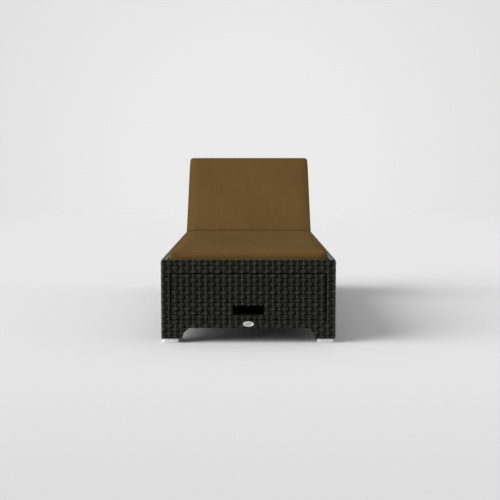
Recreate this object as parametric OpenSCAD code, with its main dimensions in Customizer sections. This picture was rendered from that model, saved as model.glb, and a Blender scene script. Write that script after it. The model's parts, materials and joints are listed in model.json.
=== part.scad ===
// Relaxation lounger: woven resin over an aluminium frame, a reclining back held up by
// a prop bow on two notched racks, a folding seat pad and a drawer under the foot end.
// The foot end faces -Y, the head end +Y, and the origin is on the floor at the centre.

/* [Overall] */
// Width over the woven sides
overall_w = 760; // [700:10:860]
// Length over the woven ends
overall_l = 2040; // [1980:10:2160]
// Height of the rail tops over the floor
rail_top_z = 364; // [350:2:400]

/* [Woven frame] */
// Thickness of the weave
weave_t = 5; // [4:0.5:6]
// Width of a woven top rail
rail_w = 30; // [27:1:34]
// Height of a woven top rail
rail_h = 62; // [56:1:66]
// Height of a woven lower rail
low_rail_h = 35; // [30:1:42]
// Width of a woven corner post
post_w = 40; // [36:1:46]
// Width of a woven leg
leg_w = 90; // [80:1:110]
// Height of the arches between the legs
arch_z = 66; // [60:1:80]
// Radius of the upright edges at the corners
corner_r = 9; // [7:1:12]
// Radius of the long edges of the rails
edge_r = 6; // [4:1:9]
// Wall of the frame tubes
tube_wall = 2; // [1.5:0.1:2.5]
// Length of a stiffening post along the side
mid_post_l = 30; // [20:1:40]

/* [Feet] */
// Height of a metal foot
foot_h = 18; // [12:1:24]
// Width of a metal foot
foot_w = 68; // [50:1:76]
// Corner radius of a metal foot
foot_r = 6; // [3:1:10]

/* [Seat] */
// Drop from the rail tops to the deck
deck_drop = 34; // [30:1:40]
// Thickness of the woven deck
deck_t = 6; // [4:0.5:7]
// Diameter of the round cross tubes
cross_d = 22; // [18:1:24]
// Number of cross tubes under the seat
seat_tubes = 4; // [3:1:6]
// Thickness of the pad
pad_t = 76; // [60:1:90]
// Gap between the pad and a side rail
pad_gap = 4; // [3:1:8]
// Height of the crown of the pad
pad_crown = 5; // [2:1:8]

/* [Backrest] */
// Share of the length from the foot end to the back's pivot
pivot_share = 0.68; // [0.66:0.005:0.7]
// Angle of the back as photographed, over the level
recline = 46.8; // [30:0.1:55]
// Steepest angle of the back
recline_top = 60; // [58:0.5:64]
// Gap between the lowered back and the head rail
head_gap = 12; // [8:1:20]
// Gap between a pivot bolt's nut and the rack
nut_gap = 6; // [4:1:12]

/* [Prop] */
// Share of the back's length from its pivot to the prop's pin
prop_share = 0.46; // [0.42:0.005:0.47]
// Diameter of the prop's tubes
prop_d = 16; // [12:1:18]
// Gap between the folded prop and the back's tubes
prop_gap = 2; // [1.5:0.5:4]
// Thickness of the rack's sheet
rack_t = 4; // [3:0.5:5]
// Depth of a notch
notch_depth = 13; // [9:1:16]
// Gap between the foot rod and the tips of the teeth
tooth_gap = 0.3; // [0.2:0.1:1]

/* [Pins] */
// Diameter of a pivot bolt
pivot_d = 10; // [8:1:12]
// Diameter of a prop pin
pin_d = 8; // [6:1:9]
// Running clearance of a bore around its pin, on the radius
run_gap = 0.05; // [0.03:0.01:0.1]
// Thickness of a hinge plate
plate_t = 5; // [4:0.5:6]
// Gap between two plates that turn past each other
plate_gap = 0.5; // [0.3:0.1:1]

/* [Drawer] */
// Gap around the drawer front
drawer_gap = 5; // [3:0.5:7]
// Thickness of the drawer front
drawer_front_t = 18; // [14:1:24]
// Length of the drawer box behind its front
drawer_l = 570; // [450:10:620]
// Height of the drawer box
drawer_h = 170; // [120:5:178]
// Thickness of the drawer's sides
drawer_t = 12; // [8:1:15]
// Thickness of the drawer's bottom
drawer_floor_t = 4; // [3:0.5:6]
// Width of the hand slot
slot_w = 134; // [100:1:160]
// Height of the hand slot
slot_h = 39; // [30:1:45]
// Height of the slot's lower edge over the drawer front's lower edge
slot_up = 19; // [15:1:30]
// Corner radius of the hand slot
slot_r = 5; // [3:1:9]
// Wall of the slot's liner
liner_t = 2; // [1.5:0.5:3]
// Height of a runner channel
runner_h = 36; // [30:1:45]
// Width of a runner channel
runner_w = 12; // [10:1:14]
// Sheet thickness of a runner channel
runner_t = 1.5; // [1:0.1:2]

/* [Badge] */
// Width of the oval badge
badge_w = 47; // [36:1:60]
// Height of the oval badge
badge_h = 26; // [18:1:30]
// Thickness of the badge over its rim
badge_t = 2; // [1.5:0.1:3]
// Width of the badge's raised rim
badge_rim = 3.2; // [2:0.1:4]

/* [Hidden] */
$fn = 48;
// Overrun of a cut past the face that it leaves
over = 1;
// Gap under a pad and between parts that slide or touch softly
soft_gap = 0.3;

half_w = overall_w / 2;
half_l = overall_l / 2;
// Box tubes inside the woven rails, posts and legs
rail_tube_w = rail_w - 2 * weave_t;
post_tube = post_w - 2 * weave_t;
leg_box = leg_w - 2 * weave_t;
skin_x = half_w - weave_t;
skin_y = half_l - weave_t;
rail_z0 = rail_top_z - rail_h;
rail_tube_z = [rail_z0 + weave_t, rail_top_z - weave_t];
low_z1 = arch_z + low_rail_h;
low_tube_z = [arch_z + weave_t, low_z1 - weave_t];
rail_in_x = half_w - rail_w;
rail_in_y = half_l - rail_w;
post_in_x = half_w - post_w;
post_in_y = half_l - post_w;
arch_r = arch_z - foot_h;

// Deck, cross tubes and the back's pivot
deck_z = rail_top_z - deck_drop;
cross_z = deck_z - deck_t - cross_d / 2;
pivot_y = overall_l * pivot_share - half_l;
pivot_z = cross_z - cross_d / 2 - prop_gap - prop_d / 2;
// Heights over the pivot, square to the back
back_tube_n = cross_z - pivot_z;
back_deck_n = deck_z - pivot_z;
// The back's lower end starts past the pivot, clear of the hinge plates
back_start = cross_d / 2 - over;
back_l = rail_in_y - head_gap - pivot_y;
back_tube_l = back_l - back_start - prop_gap;
// Across the hinge, from the rail's inner face: rack, gap, nut, bracket and lug
bolt_head_h = 4.5;
bolt_head_d = 15.5;
nut_h = 5.5;
back_x = rail_in_x - rack_t - nut_gap - nut_h - plate_t - plate_gap;
back_tube_x = back_x - cross_d / 2;
// The deck ends where the lifted back still clears it
hinge_room_share = 1.15;
deck_end_y = pivot_y - back_deck_n * sin(recline_top) * hinge_room_share;
hinge_tube_set = 6;
hinge_tube_y = deck_end_y - cross_d / 2 - hinge_tube_set;
seat_tube_inset = 150;
seat_first_y = -rail_in_y + seat_tube_inset;

// Prop: its pin lies one arm's length up the back, so its foot keeps the pivot's level
prop_l = back_l * prop_share;
prop_pin_y = pivot_y + prop_l * cos(recline);
prop_pin_z = pivot_z + prop_l * sin(recline);
foot_rod_y = pivot_y + 2 * prop_l * cos(recline);
// Nylon bush in a pivot lug, and the metal left round a bore
bush_t = 2;
lug_wall = 5;
lug_r = pivot_d / 2 + run_gap + bush_t + lug_wall;
lug_x = [back_x - plate_t, back_x];
bracket_x = [back_x + plate_gap, back_x + plate_gap + plate_t];
pin_lug_x = [back_tube_x - plate_t / 2, back_tube_x + plate_t / 2];
arm_gap = 3.5;
prop_x = pin_lug_x[0] - arm_gap - prop_d / 2;
pin_boss_r = back_tube_n - cross_d / 2 - plate_gap;

// Racks: the foot rod's places for the steepest, the photographed and the flatter angles
notch_top = 2 * prop_l * cos(recline_top);
notch_rest = 2 * prop_l * cos(recline);
notch_pitch = (notch_rest - notch_top) / 2;
notches = floor((2 * prop_l - notch_top) / notch_pitch) + 1;
rack_end = 30;
rack_y = [pivot_y + notch_top - rack_end, pivot_y + 2 * prop_l + rack_end];
tooth_z = pivot_z - prop_d / 2 - tooth_gap;
notch_z = tooth_z - notch_depth;
rack_web = 6;
rack_z0 = notch_z - rack_web - rack_t;
rack_z1 = deck_z - deck_t - rack_t;
rod_end_x = rail_in_x - rack_t - prop_gap;
rack_out_x = [rail_in_x - rack_t, rail_in_x];
rack_lip = 14;
rack_in_x = [rod_end_x - rack_lip - rack_t, rod_end_x - rack_lip];

// Drawer: opening, front, box and runners
opening_x = post_in_x;
opening_z = [low_z1, rail_z0];
front_x = opening_x - drawer_gap;
front_z = [opening_z[0] + drawer_gap, opening_z[1] - drawer_gap];
front_y = [-half_l, -half_l + drawer_front_t];
runner_x = [opening_x - runner_w, opening_x];
box_x = runner_x[0] - runner_t;
box_lift = 6;
box_z0 = front_z[0] + box_lift;
box_y = [front_y[1], front_y[1] + drawer_l];
runner_up_share = 0.33;
runner_z = box_z0 + drawer_h * runner_up_share;
slide_neck_share = 0.33;
slide_neck_h = runner_h * slide_neck_share;
slot_z = [front_z[0] + slot_up, front_z[0] + slot_up + slot_h];
mid_post_y = [box_y[1] + mid_post_l, hinge_tube_y - cross_d / 2 - mid_post_l];
// A runner is screwed to a corner post and to the first stiffening post
runner_y = [front_y[1] + drawer_gap, mid_post_y[0] + mid_post_l / 2];

// Pad
pad_half_w = rail_in_x - pad_gap;
pad_n0 = back_deck_n + soft_gap;
mitre_room = 0.4;
mitre = recline_top / 2 + mitre_room;
pad_foot_gap = 6;
// Roundness of the pad's long edges, of its corners and of its fold at the crease
pad_edge_share = 0.34;
pad_corner_share = 0.12;
pad_fold_share = 0.1;
pad_levels = 12;
pad_points = 64;
level_step = 180 / pad_levels;
turn_step = 360 / pad_points;

badge_z = (arch_z + low_z1) / 2;

// A box between two corner values on each axis
module span(x, y, z) {
    translate([x[0], y[0], z[0]]) cube([x[1] - x[0], y[1] - y[0], z[1] - z[0]]);
}

// The same box with a bore along one axis, 0 for X, 1 for Y and 2 for Z
module box_tube(x, y, z, wall, along) {
    inner = [for (k = [0:2]) k == along ? -over : wall];
    difference() {
        span(x, y, z);
        span([x[0] + inner[0], x[1] - inner[0]], [y[0] + inner[1], y[1] - inner[1]],
            [z[0] + inner[2], z[1] - inner[2]]);
    }
}

// The children on the left, the right or both sides of the middle
module on_side(side) {
    mirror([side < 0 ? 1 : 0, 0, 0]) children();
}
module both_sides() {
    for (side = [-1, 1]) on_side(side) children();
}
// The children at the foot end and, turned round, at the head end
module both_ends() {
    for (turn = [0, 1]) mirror([0, turn, 0]) children();
}
module four_corners() {
    both_ends() both_sides() children();
}

// A rectangle with round corners about the origin
module round_rect(w, h, r) {
    square([w - 2 * r, h], center = true);
    square([w, h - 2 * r], center = true);
    for (sx = [-1, 1], sy = [-1, 1]) translate([sx * (w / 2 - r), sy * (h / 2 - r)]) circle(r);
}

// The upright prism that rounds the lounger's four corners
module corner_prism() {
    linear_extrude(rail_top_z) round_rect(overall_w, overall_l, corner_r);
}

// A plate outline that joins two bosses by their outer tangents
module link(p, p_r, q, q_r) {
    d = norm(q - p);
    dir = atan2(q[1] - p[1], q[0] - p[0]);
    open = acos((p_r - q_r) / d);
    translate(p) circle(p_r);
    translate(q) circle(q_r);
    polygon([for (k = [[p, p_r, open], [q, q_r, open], [q, q_r, -open], [p, p_r, -open]])
        k[0] + k[1] * [cos(dir + k[2]), sin(dir + k[2])]]);
}

// Turns an outline drawn in Y and Z into a plate between two values of X
module plate_x(x) {
    translate([x[0], 0, 0]) rotate([90, 0, 90]) linear_extrude(x[1] - x[0]) children();
}

// A round tube or rod along X
module rod_x(x, y, z, d, bore = 0) {
    translate([x[0], y, z]) rotate([0, 90, 0]) difference() {
        cylinder(h = x[1] - x[0], d = d);
        if (bore > 0) translate([0, 0, -over]) cylinder(h = x[1] - x[0] + 2 * over, d = bore);
    }
}

// Frames for what moves: the back about its pivot, the prop about its pin
module on_back() {
    translate([0, pivot_y, pivot_z]) rotate([recline, 0, 0]) children();
}
module on_prop() {
    translate([0, prop_pin_y, prop_pin_z]) rotate([-recline, 0, 0]) children();
}

// Base frame

module side_rail(side) {
    color("dimgray") on_side(side)
        box_tube([rail_in_x + weave_t, skin_x], [-skin_y + rail_tube_w, skin_y - rail_tube_w],
            rail_tube_z, tube_wall, 1);
}
module end_rail() {
    color("dimgray")
        box_tube([-skin_x, skin_x], [-skin_y, -skin_y + rail_tube_w], rail_tube_z, tube_wall, 0);
}
module front_rail() end_rail();
module rear_rail() mirror([0, 1, 0]) end_rail();

module lower_rails() {
    color("dimgray") {
        both_ends() box_tube([-skin_x + leg_box, skin_x - leg_box],
            [-skin_y, -skin_y + rail_tube_w], low_tube_z, tube_wall, 0);
        both_sides() box_tube([rail_in_x + weave_t, skin_x],
            [-skin_y + leg_box, skin_y - leg_box], low_tube_z, tube_wall, 1);
    }
}
module corner_posts() {
    color("dimgray") four_corners() intersection() {
        box_tube([skin_x - post_tube, skin_x], [-skin_y, -skin_y + post_tube],
            [low_tube_z[1], rail_tube_z[0]], tube_wall, 2);
        inner_prism();
    }
}
// The footprint inside the weave
module inner_prism() {
    linear_extrude(rail_top_z)
        round_rect(overall_w - 2 * weave_t, overall_l - 2 * weave_t, corner_r - weave_t);
}
module mid_posts() {
    color("dimgray") both_sides() for (y = mid_post_y)
        box_tube([opening_x, skin_x], [y - mid_post_l / 2, y + mid_post_l / 2],
            [low_tube_z[1], rail_tube_z[0]], tube_wall, 2);
}
module leg_boxes() {
    color("dimgray") four_corners() intersection() {
        difference() {
            span([skin_x - leg_box, skin_x], [-skin_y, -skin_y + leg_box], [foot_h, low_tube_z[1]]);
            span([skin_x - leg_box + tube_wall, skin_x - tube_wall],
                [-skin_y + tube_wall, -skin_y + leg_box - tube_wall],
                [foot_h + 2 * tube_wall, low_tube_z[1] - 2 * tube_wall]);
        }
        inner_prism();
    }
}
module feet() {
    color("gainsboro") four_corners()
        translate([half_w - leg_w / 2, -half_l + leg_w / 2, 0])
            linear_extrude(foot_h) round_rect(foot_w, foot_w, foot_r);
}

// Cross tubes run between the side rails, in through the weave on the rails' inner faces
cross_x = [-rail_in_x - weave_t, rail_in_x + weave_t];
function seat_tube_y(k) = seat_first_y
    + k * (hinge_tube_y - seat_first_y) / seat_tubes;
module seat_cross_tubes() {
    color("dimgray") for (k = [0:seat_tubes - 1])
        rod_x(cross_x, seat_tube_y(k), cross_z, cross_d, cross_d - 2 * tube_wall);
}
module hinge_cross_tube() {
    color("dimgray") rod_x(cross_x, hinge_tube_y, cross_z, cross_d, cross_d - 2 * tube_wall);
}
// Each hinge plate is welded under the cross tube and holds the pivot bolt
bracket_rim = 3;
bracket_top_share = 0.25;
module hinge_brackets() {
    color("dimgray") both_sides() difference() {
        plate_x(bracket_x) difference() {
            link([pivot_y, pivot_z], lug_r, [hinge_tube_y, cross_z], cross_d / 2 + bracket_rim);
            translate([hinge_tube_y, cross_z]) circle(d = cross_d);
        }
        rod_x([bracket_x[0] - over, bracket_x[1] + over], pivot_y, pivot_z, pivot_d);
        span([bracket_x[0] - over, bracket_x[1] + over], [-half_l, half_l],
            [cross_z + cross_d * bracket_top_share, rail_top_z]);
    }
}
module pivot_bolts() {
    color("silver") both_sides() {
        rod_x([lug_x[0] - bolt_head_h, lug_x[0]], pivot_y, pivot_z, bolt_head_d);
        rod_x([lug_x[0], bracket_x[1] + nut_h], pivot_y, pivot_z, pivot_d);
        translate([bracket_x[1], pivot_y, pivot_z]) rotate([0, 90, 0])
            cylinder(h = nut_h, d = bolt_head_d, $fn = 6);
    }
}

screw_d = 5;
screw_head_d = 9;
screw_head_h = 1.4;
rack_screw_z = rail_tube_z[0] + screw_d / 2;
rack_fixings = 4;
rack_screw_y = [for (k = [0:rack_fixings - 1]) rack_y[0] + rack_end / 2
    + k * (rack_y[1] - rack_y[0] - rack_end) / (rack_fixings - 1)];
// Rack: a channel whose outer wall is screwed to the rail and whose inner wall has the teeth.
// A notch has an upright face towards the head, which stops the rod, and a ramp to climb out.
ramp_share = 1.1;
ramp_deg = 42;
module notch_outline() {
    r = prop_d / 2 + tooth_gap;
    top = notch_depth + over;
    translate([0, r]) circle(r);
    polygon([[r, r], [r, top], [-r - (top - r) * ramp_share, top], [-r * cos(ramp_deg), r
        - r * sin(ramp_deg)], [0, r]]);
}
module rack(side) {
    color("dimgray") on_side(side) {
        difference() {
            union() {
                span(rack_out_x, rack_y, [rack_z0, rack_z1]);
                span([rack_in_x[0], rack_out_x[1]], rack_y, [rack_z0, rack_z0 + rack_t]);
            }
            for (y = rack_screw_y) rod_x([rack_out_x[0] - over, rack_out_x[1] + over], y,
                rack_screw_z, screw_d);
        }
        plate_x(rack_in_x) difference() {
            translate([rack_y[0], rack_z0])
                square([rack_y[1] - rack_y[0], tooth_z - rack_z0]);
            for (k = [0:notches - 1])
                translate([pivot_y + notch_top + k * notch_pitch, notch_z]) notch_outline();
        }
    }
}
// The heads stand in the channel and the shanks go through the weave to the rail's tube
module rack_screws() {
    color("silver") both_sides() for (y = rack_screw_y) {
        rod_x([rack_out_x[0] - screw_head_h, rack_out_x[0]], y, rack_screw_z, screw_head_d);
        rod_x([rack_out_x[0], rail_in_x + weave_t], y, rack_screw_z, screw_d);
    }
}

// Weave

// A woven tube around a rail along X at the foot end, with ports for what enters the rail
module end_rail_weave() {
    color("#242522") intersection() {
        difference() {
            translate([-half_w, -half_l + rail_w / 2, rail_top_z - rail_h / 2])
                rotate([90, 0, 90]) linear_extrude(overall_w) round_rect(rail_w, rail_h, edge_r);
            span([-skin_x, skin_x], [-skin_y, -skin_y + rail_tube_w], rail_tube_z);
            both_sides() {
                span([rail_in_x + weave_t, skin_x], [-skin_y, -rail_in_y + over], rail_tube_z);
                span([skin_x - post_tube, skin_x], [-skin_y, -skin_y + post_tube],
                    [rail_z0 - over, rail_tube_z[0] + over]);
            }
        }
        corner_prism();
    }
}
module rail_weave_front() end_rail_weave();
module rail_weave_rear() mirror([0, 1, 0]) end_rail_weave();

module side_rail_weave(side) {
    color("#242522") on_side(side) difference() {
        translate([half_w - rail_w / 2, rail_in_y, rail_top_z - rail_h / 2])
            rotate([90, 0, 0]) linear_extrude(2 * rail_in_y) round_rect(rail_w, rail_h, edge_r);
        span([rail_in_x + weave_t, skin_x], [-half_l, half_l], rail_tube_z);
        for (y = mid_post_y) span([opening_x, skin_x], [y - mid_post_l / 2, y + mid_post_l / 2],
            [rail_z0 - over, rail_tube_z[0] + over]);
        both_ends() span([opening_x, skin_x], [-skin_y, -skin_y + post_tube],
            [rail_z0 - over, rail_tube_z[0] + over]);
        for (y = rack_screw_y) rod_x([opening_x, rail_in_x + weave_t + over], y,
            rack_screw_z, screw_d);
        for (k = [0:seat_tubes - 1]) rod_x([opening_x, rail_in_x + weave_t + over],
            seat_tube_y(k), cross_z, cross_d);
        rod_x([opening_x, rail_in_x + weave_t + over], hinge_tube_y, cross_z, cross_d);
    }
}

module lower_rail_weave() {
    color("#242522") {
        both_ends() box_tube([-half_w + leg_w, half_w - leg_w], [-half_l, -rail_in_y],
            [arch_z, low_z1], weave_t, 0);
        both_sides() difference() {
            box_tube([rail_in_x, half_w], [-half_l + leg_w, half_l - leg_w], [arch_z, low_z1],
                weave_t, 1);
            for (y = mid_post_y) span([opening_x, skin_x],
                [y - mid_post_l / 2, y + mid_post_l / 2], [low_tube_z[1] - over, low_z1 + over]);
        }
    }
}
module post_weave() {
    color("#242522") four_corners() intersection() {
        box_tube([post_in_x, half_w], [-half_l, -post_in_y], [low_z1, rail_z0], weave_t, 2);
        corner_prism();
    }
}
module leg_weave() {
    color("#242522") four_corners() intersection() {
        difference() {
            span([half_w - leg_w, half_w], [-half_l, -half_l + leg_w], [foot_h, low_z1]);
            span([skin_x - leg_box, skin_x], [-skin_y, -skin_y + leg_box],
                [foot_h - over, low_tube_z[1]]);
            span([skin_x - post_tube, skin_x], [-skin_y, -skin_y + post_tube],
                [low_tube_z[1] - over, low_z1 + over]);
            span([half_w - leg_w - over, skin_x], [-skin_y, -skin_y + rail_tube_w], low_tube_z);
            span([rail_in_x + weave_t, skin_x], [-skin_y, -half_l + leg_w + over], low_tube_z);
        }
        corner_prism();
    }
}
// Quarter-round corners that make the arches between the legs
module arch_corner(depth) {
    linear_extrude(depth) difference() {
        square([arch_r, arch_r]);
        circle(arch_r);
    }
}
module arch_corners() {
    color("#242522") four_corners() {
        translate([half_w - leg_w - arch_r, -rail_in_y, foot_h])
            rotate([90, 0, 0]) arch_corner(rail_w);
        translate([half_w - rail_w, -half_l + leg_w + arch_r, foot_h])
            rotate([90, 0, 90]) mirror([1, 0, 0]) arch_corner(rail_w);
    }
}
module side_weave(side) {
    color("#242522") on_side(side)
        span([skin_x, half_w], [-post_in_y, post_in_y], [low_z1, rail_z0]);
}
module rear_weave() {
    color("#242522") span([-post_in_x, post_in_x], [skin_y, half_l], [low_z1, rail_z0]);
}
module seat_deck() {
    color("#30312e") span([-rail_in_x, rail_in_x], [-rail_in_y, deck_end_y],
        [deck_z - deck_t, deck_z]);
}

// Badge: a bare oval with a raised rim
badge_points = 48;
module oval(w, h) {
    step = 360 / badge_points;
    polygon([for (k = [0:badge_points - 1]) [w / 2 * cos(step * k), h / 2 * sin(step * k)]]);
}
module badge() {
    color("silver") translate([0, -half_l, badge_z]) rotate([90, 0, 0]) difference() {
        linear_extrude(badge_t) oval(badge_w, badge_h);
        translate([0, 0, badge_t / 2]) linear_extrude(badge_t)
            oval(badge_w - 2 * badge_rim, badge_h - 2 * badge_rim);
    }
}

// Pads

// One half of the pad: a full, rounded block from the crease at y = 0 to its far end at l.
// Its crease end leans away from the pivot, which lies pad_n0 under the pad's underside.
function soft(v, share) = sign(v) * pow(abs(v), share);
function pad_point(l, level, turn) =
    let (up = soft(sin(level), pad_edge_share),
        out = soft(cos(level), pad_edge_share),
        end = sin(turn) < 0 ? soft(cos(level), pad_fold_share) : out,
        px = out * soft(cos(turn), pad_corner_share),
        py = end * soft(sin(turn), pad_corner_share),
        fall = up > 0 ? pad_crown * (1 - (1 - px * px) * (1 - pow(py, 4))) : 0,
        z = pad_t / 2 + up * (pad_t / 2 - fall),
        start = (pad_n0 + z) * tan(mitre))
    [pad_half_w * px, start + (l - start) * (1 + py) / 2, z];
module half_pad(l) {
    rings = pad_levels - 1;
    points = [
        for (i = [1:rings], j = [0:pad_points - 1])
            pad_point(l, -90 + level_step * i, turn_step * (j + 0.5)),
        pad_point(l, -90, 0),
        pad_point(l, 90, 0)];
    low = rings * pad_points;
    top = (rings - 1) * pad_points;
    function at(i, j) = i * pad_points + j % pad_points;
    polyhedron(points, concat(
        [for (i = [0:rings - 2], j = [0:pad_points - 1]) [at(i, j), at(i, j + 1), at(i + 1, j)]],
        [for (i = [0:rings - 2], j = [0:pad_points - 1])
            [at(i, j + 1), at(i + 1, j + 1), at(i + 1, j)]],
        [for (j = [0:pad_points - 1]) [low, at(0, j + 1), at(0, j)]],
        [for (j = [0:pad_points - 1]) [low + 1, top + j, top + (j + 1) % pad_points]]));
}
module seat_cushion() {
    color("#655030") translate([0, pivot_y, deck_z + soft_gap])
        mirror([0, 1, 0]) half_pad(pivot_y + rail_in_y - pad_foot_gap);
}
module back_cushion() {
    color("#655030") on_back() translate([0, 0, pad_n0]) half_pad(back_l);
}

// Backrest, drawn level with its pivot at the origin and then lifted

module back_tube(side) {
    color("dimgray") on_back() on_side(side)
        translate([back_tube_x, back_start, back_tube_n]) rotate([-90, 0, 0]) difference() {
            cylinder(h = back_tube_l, d = cross_d);
            translate([0, 0, -over]) cylinder(h = back_tube_l + 2 * over,
                d = cross_d - 2 * tube_wall);
        }
}
back_cross_shares = [0.05, 0.5, 0.97];
module back_cross_tubes() {
    color("dimgray") on_back() difference() {
        for (share = back_cross_shares) rod_x([-back_tube_x, back_tube_x],
            back_start + share * back_tube_l, back_tube_n, cross_d - 2 * tube_wall,
            cross_d - 4 * tube_wall);
        both_sides() translate([back_tube_x, 0, back_tube_n]) rotate([-90, 0, 0])
            cylinder(h = back_l, d = cross_d);
    }
}
module back_deck() {
    color("#30312e") on_back() span([-back_x, back_x], [back_start, back_start + back_tube_l],
        [back_deck_n - deck_t, back_deck_n]);
}
// A lug hangs under the side tube, cut to sit round it
lug_set = 20;
module lug(x, y, bore) {
    difference() {
        plate_x(x) link([y, 0], lug_r, [y + lug_set, back_tube_n], lug_r);
        translate([back_tube_x, -over, back_tube_n]) rotate([-90, 0, 0])
            cylinder(h = back_l + 2 * over, d = cross_d);
        span([x[0] - over, x[1] + over], [y - back_l, y + back_l],
            [back_tube_n, back_tube_n + cross_d]);
        rod_x([x[0] - over, x[1] + over], y, 0, bore);
    }
}
module back_lugs() {
    color("dimgray") on_back() both_sides() lug(lug_x, 0, pivot_d + 2 * run_gap + 2 * bush_t);
}
module pivot_bushes() {
    color("ivory") on_back() both_sides() rod_x(lug_x, 0, 0,
        pivot_d + 2 * run_gap + 2 * bush_t, pivot_d + 2 * run_gap);
}
module prop_lugs() {
    color("dimgray") on_back() both_sides() lug(pin_lug_x, prop_l, pin_d);
}
pin_head_h = 3;
pin_head_share = 1.6;
module prop_pins() {
    color("silver") on_back() both_sides() {
        rod_x([prop_x - prop_d / 2 - plate_gap, pin_lug_x[1]], prop_l, 0, pin_d);
        rod_x([prop_x - prop_d / 2 - plate_gap - pin_head_h, prop_x - prop_d / 2 - plate_gap],
            prop_l, 0, pin_d * pin_head_share);
    }
}

// Prop, drawn level with its pin at the origin and then lowered to the racks

boss_x = [prop_x - prop_d / 2, pin_lug_x[0] - plate_gap];
module prop_arm(side) {
    color("dimgray") on_prop() on_side(side) difference() {
        union() {
            rod_x(boss_x, 0, 0, 2 * pin_boss_r);
            translate([prop_x, 0, 0]) rotate([-90, 0, 0]) cylinder(h = prop_l, d = prop_d);
        }
        translate([prop_x, pin_boss_r + tube_wall, 0]) rotate([-90, 0, 0])
            cylinder(h = prop_l, d = prop_d - 2 * tube_wall);
        rod_x([boss_x[0] - over, boss_x[1] + over], 0, 0, pin_d + 2 * run_gap);
        rod_x([0, rail_in_x], prop_l, 0, prop_d);
    }
}
module prop_foot_rod() {
    color("dimgray") on_prop() rod_x([-rod_end_x, rod_end_x], prop_l, 0, prop_d,
        prop_d - 2 * tube_wall);
}
cap_depth = 12;
module rod_caps() {
    color("black") on_prop() both_sides() {
        rod_x([rod_end_x - cap_depth, rod_end_x], prop_l, 0, prop_d - 2 * tube_wall);
        rod_x([rod_end_x, rod_end_x + prop_gap - plate_gap], prop_l, 0, prop_d);
    }
}

// Drawer

module slot_cut(y, grow) {
    translate([0, y[0] - over, (slot_z[0] + slot_z[1]) / 2]) rotate([-90, 0, 0])
        linear_extrude(y[1] - y[0] + 2 * over)
            round_rect(slot_w + 2 * grow, slot_h + 2 * grow, slot_r + grow);
}
module drawer_board() {
    color("#1c1c1c") difference() {
        span([-front_x + weave_t, front_x - weave_t],
            [front_y[0] + weave_t, front_y[1]],
            [front_z[0] + weave_t, front_z[1] - weave_t]);
        slot_cut(front_y, liner_t);
    }
}
// The weave covers the front of the board and wraps round its four edges
module drawer_weave() {
    color("#242522") difference() {
        span([-front_x, front_x], front_y, front_z);
        span([-front_x + weave_t, front_x - weave_t],
            [front_y[0] + weave_t, front_y[1] + over],
            [front_z[0] + weave_t, front_z[1] - weave_t]);
        slot_cut(front_y, liner_t);
    }
}
module slot_liner() {
    color("#101010") difference() {
        slot_cut([front_y[0] + over, front_y[1] - over], liner_t);
        slot_cut([front_y[0] - over, front_y[1] + over], 0);
    }
}
module drawer_side(side) {
    color("#1c1c1c") on_side(side)
        span([box_x - drawer_t, box_x], box_y, [box_z0, box_z0 + drawer_h]);
}
module drawer_back() {
    color("#1c1c1c") span([-box_x + drawer_t, box_x - drawer_t],
        [box_y[1] - drawer_t, box_y[1]], [box_z0, box_z0 + drawer_h]);
}
module drawer_floor() {
    color("#1c1c1c") span([-box_x + drawer_t, box_x - drawer_t],
        [box_y[0], box_y[1] - drawer_t], [box_z0, box_z0 + drawer_floor_t]);
}
// Runner: a lipped channel on the posts, open towards the drawer
module runner(side) {
    color("gray") on_side(side) difference() {
        span(runner_x, runner_y, [runner_z - runner_h / 2, runner_z + runner_h / 2]);
        span([runner_x[0] + runner_t, runner_x[1] - runner_t],
            [runner_y[0] - over, runner_y[1] + over],
            [runner_z - runner_h / 2 + runner_t, runner_z + runner_h / 2 - runner_t]);
        span([runner_x[0] - over, runner_x[1] - runner_t],
            [runner_y[0] - over, runner_y[1] + over],
            [runner_z - slide_neck_h / 2, runner_z + slide_neck_h / 2]);
    }
}
// Slide: a head that runs in the channel, on a neck that passes between its lips
module slide(side) {
    head = runner_h / 2 - runner_t - soft_gap;
    neck = slide_neck_h / 2 - runner_t;
    color("gray") on_side(side) {
        span([box_x, runner_x[1] - 2 * runner_t], [box_y[0] + drawer_gap, box_y[1]],
            [runner_z - neck, runner_z + neck]);
        span([runner_x[0] + 2 * runner_t, runner_x[1] - 2 * runner_t],
            [box_y[0] + drawer_gap, box_y[1]], [runner_z - head, runner_z + head]);
    }
}

side_rail(-1);  // side_rail_left
side_rail(1);  // side_rail_right
front_rail();
rear_rail();
lower_rails();
corner_posts();
mid_posts();
leg_boxes();
seat_cross_tubes();
hinge_cross_tube();
hinge_brackets();
pivot_bolts();
rack(-1);  // rack_left
rack(1);  // rack_right
rack_screws();
feet();
rail_weave_front();
rail_weave_rear();
side_rail_weave(-1);  // rail_weave_left
side_rail_weave(1);  // rail_weave_right
lower_rail_weave();
post_weave();
leg_weave();
arch_corners();
side_weave(-1);  // side_weave_left
side_weave(1);  // side_weave_right
rear_weave();
seat_deck();
badge();
runner(-1);  // runner_left
runner(1);  // runner_right
seat_cushion();
back_tube(-1);  // back_tube_left
back_tube(1);  // back_tube_right
back_cross_tubes();
back_deck();
back_lugs();
pivot_bushes();
prop_lugs();
prop_pins();
back_cushion();
prop_arm(-1);  // prop_arm_left
prop_arm(1);  // prop_arm_right
prop_foot_rod();
rod_caps();
drawer_board();
drawer_weave();
slot_liner();
drawer_side(-1);  // drawer_side_left
drawer_side(1);  // drawer_side_right
drawer_back();
drawer_floor();
slide(-1);  // slide_left
slide(1);  // slide_right
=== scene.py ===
# Relaxation lounger: the woven resin, the folding pad and the metal trim around the CAD frame.
# Lengths are in metres, the foot end faces -Y and the floor is at Z = 0.
import json

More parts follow.
